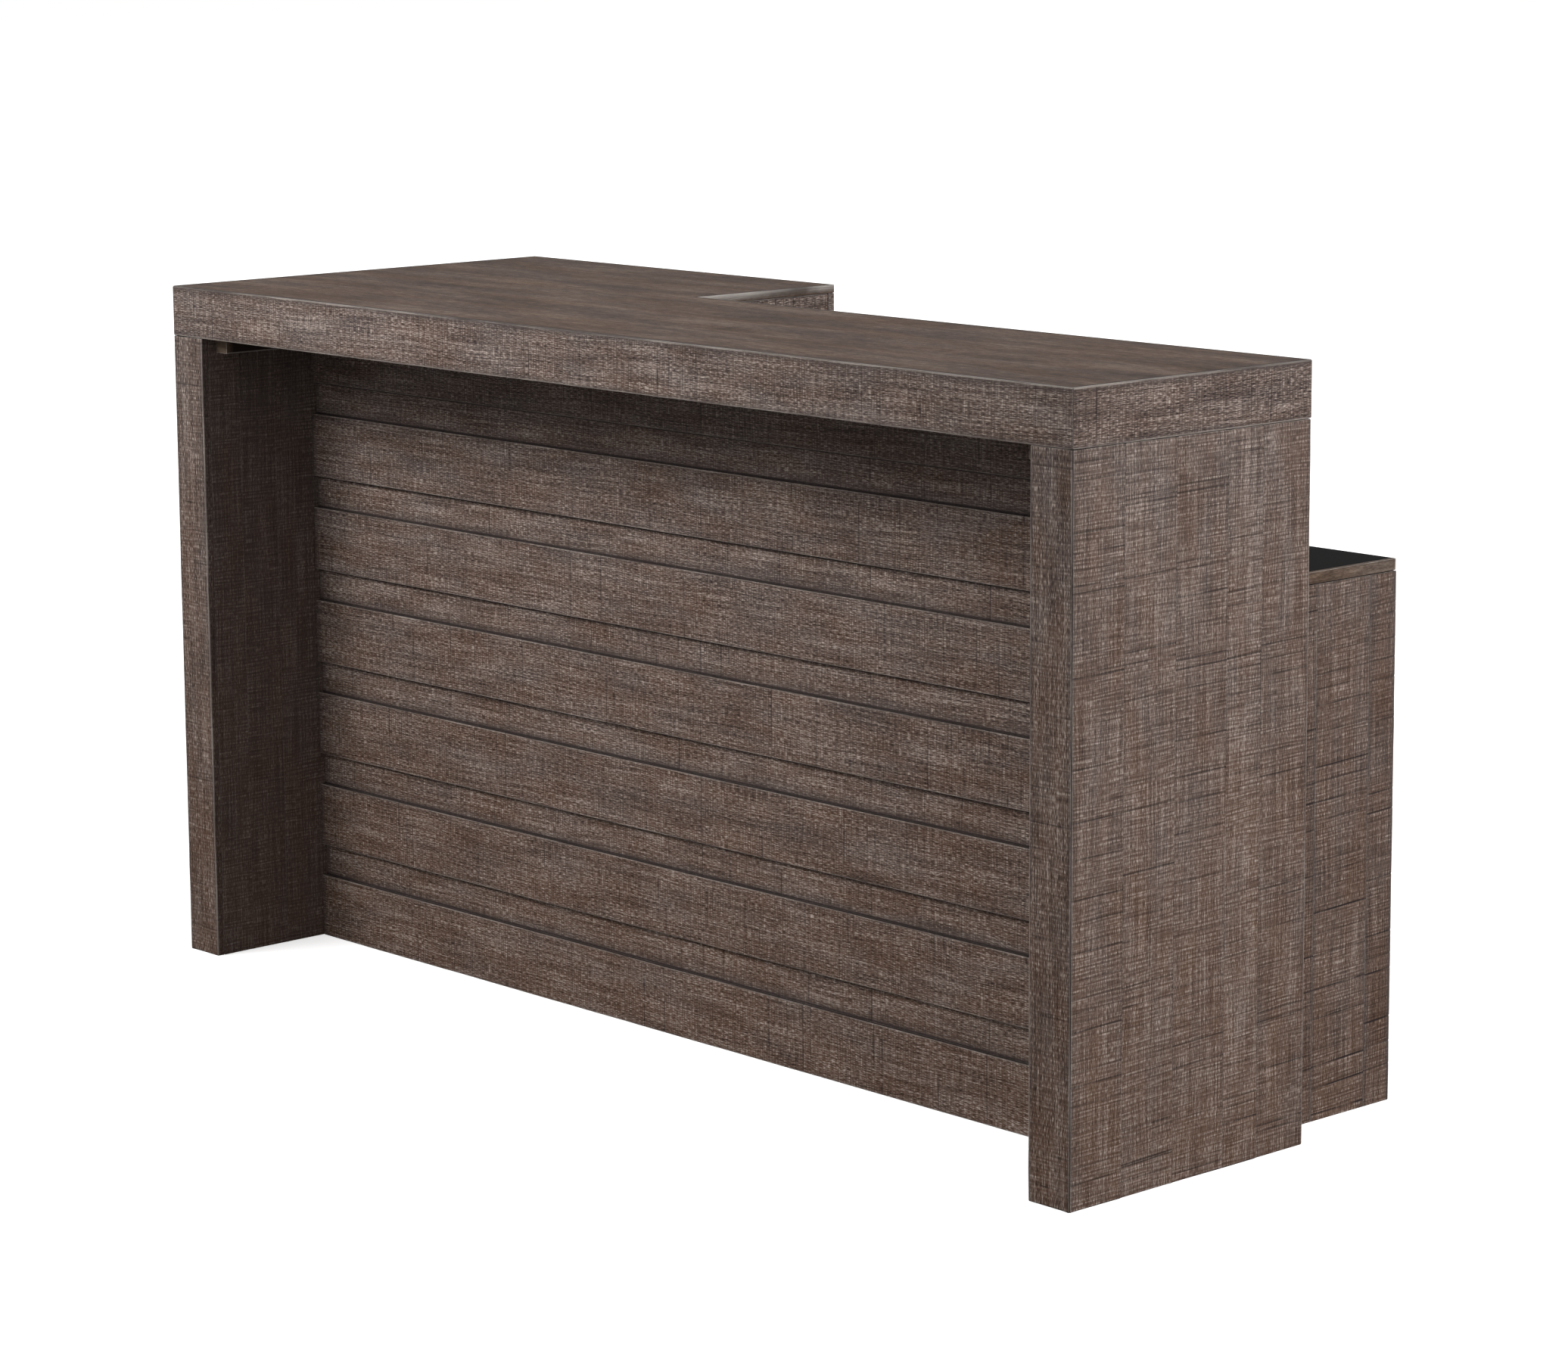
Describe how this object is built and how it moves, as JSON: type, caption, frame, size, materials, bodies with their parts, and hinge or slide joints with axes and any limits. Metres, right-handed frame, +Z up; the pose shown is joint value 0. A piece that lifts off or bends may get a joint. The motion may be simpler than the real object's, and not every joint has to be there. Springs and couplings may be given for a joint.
{
  "type": "home bar",
  "caption": "L-shaped home bar with a planked front, thick end panels, a lower black service counter, hinged doors, drawers, a wine lattice and a stemware rack.",
  "frame": {"origin": "on the floor, at the centre of the footprint's bounding box", "axes": "+X along the bar towards its plain right end, +Y from the guests' side to the bartender's side, +Z up"},
  "size_m": [1.9812, 0.7416, 1.0795],
  "materials": {
    "rough_sawn_wood": "rough-sawn, wire-brushed and glazed dark brown-grey",
    "smooth_wood": "planed smooth, stained brown-grey, satin",
    "cabinet_wood": "stained brown-grey, satin",
    "black_surface": "black laminate, satin",
    "dark_metal": "dark bronze",
    "zinc_steel": "zinc plated"
  },
  "bodies": {
    "carcass": {"apron_front": "rough_sawn_wood", "apron_left": "rough_sawn_wood", "apron_right": "rough_sawn_wood", "apron_wing_back": "rough_sawn_wood", "apron_wing_inner": "rough_sawn_wood", "left_end_panel": "rough_sawn_wood", "left_end_stile": "rough_sawn_wood", "right_end_panel": "rough_sawn_wood", "right_end_stile": "rough_sawn_wood", "front_backing": "rough_sawn_wood", "front_plank_1": "rough_sawn_wood", "front_plank_2": "rough_sawn_wood", "front_plank_3": "rough_sawn_wood", "front_plank_4": "rough_sawn_wood", "front_plank_5": "rough_sawn_wood", "front_plank_6": "rough_sawn_wood", "front_plank_7": "rough_sawn_wood", "counter_end_panel": "rough_sawn_wood", "bar_top": "smooth_wood", "counter_board": "smooth_wood", "counter_lipping": "smooth_wood", "cleat_left": "cabinet_wood", "cleat_right": "cabinet_wood", "toe_kick": "cabinet_wood", "wing_side": "cabinet_wood", "wing_bottom": "cabinet_wood", "counter_bottom": "cabinet_wood", "wing_cabinet_top": "cabinet_wood", "wing_shelf": "cabinet_wood", "partition_wine": "cabinet_wood", "partition_middle": "cabinet_wood", "wine_deck": "cabinet_wood", "drawer_deck_1": "cabinet_wood", "drawer_deck_2": "cabinet_wood", "wine_lattice_rising": "cabinet_wood", "wine_lattice_falling": "cabinet_wood", "stemware_rack": "cabinet_wood", "counter_surface": "black_surface", "wing_door_left_foot_pivot": "zinc_steel", "wing_door_left_head_pivot": "zinc_steel", "wing_door_right_foot_pivot": "zinc_steel", "wing_door_right_head_pivot": "zinc_steel", "drawer_1_rail_left": "zinc_steel", "drawer_1_rail_right": "zinc_steel", "drawer_2_rail_left": "zinc_steel", "drawer_2_rail_right": "zinc_steel"},
    "door_left": {"wing_door_left": "rough_sawn_wood", "wing_door_left_pull": "dark_metal"},
    "door_right": {"wing_door_right": "rough_sawn_wood", "wing_door_right_pull": "dark_metal"},
    "drawer_1": {"drawer_1_front": "rough_sawn_wood", "drawer_1_box": "cabinet_wood", "drawer_1_pull": "dark_metal", "drawer_1_runner_left": "zinc_steel", "drawer_1_runner_right": "zinc_steel"},
    "drawer_2": {"drawer_2_front": "rough_sawn_wood", "drawer_2_box": "cabinet_wood", "drawer_2_pull": "dark_metal", "drawer_2_runner_left": "zinc_steel", "drawer_2_runner_right": "zinc_steel"}
  },
  "joints": [
    {"name": "door_left_hinge", "type": "hinge", "parent": "carcass", "child": "door_left", "pos_m": [-0.8999, 0.33825, 0.0946], "axis": [0, 0, 1], "range_deg": [0, 100]},
    {"name": "door_right_hinge", "type": "hinge", "parent": "carcass", "child": "door_right", "pos_m": [-0.2895, 0.33825, 0.0946], "axis": [0, 0, -1], "range_deg": [0, 110]},
    {"name": "drawer_1_slide", "type": "slide", "parent": "carcass", "child": "drawer_1", "axis": [0, 1, 0], "range_m": [0, 0.3]},
    {"name": "drawer_2_slide", "type": "slide", "parent": "carcass", "child": "drawer_2", "axis": [0, 1, 0], "range_m": [0, 0.3]}
  ]
}
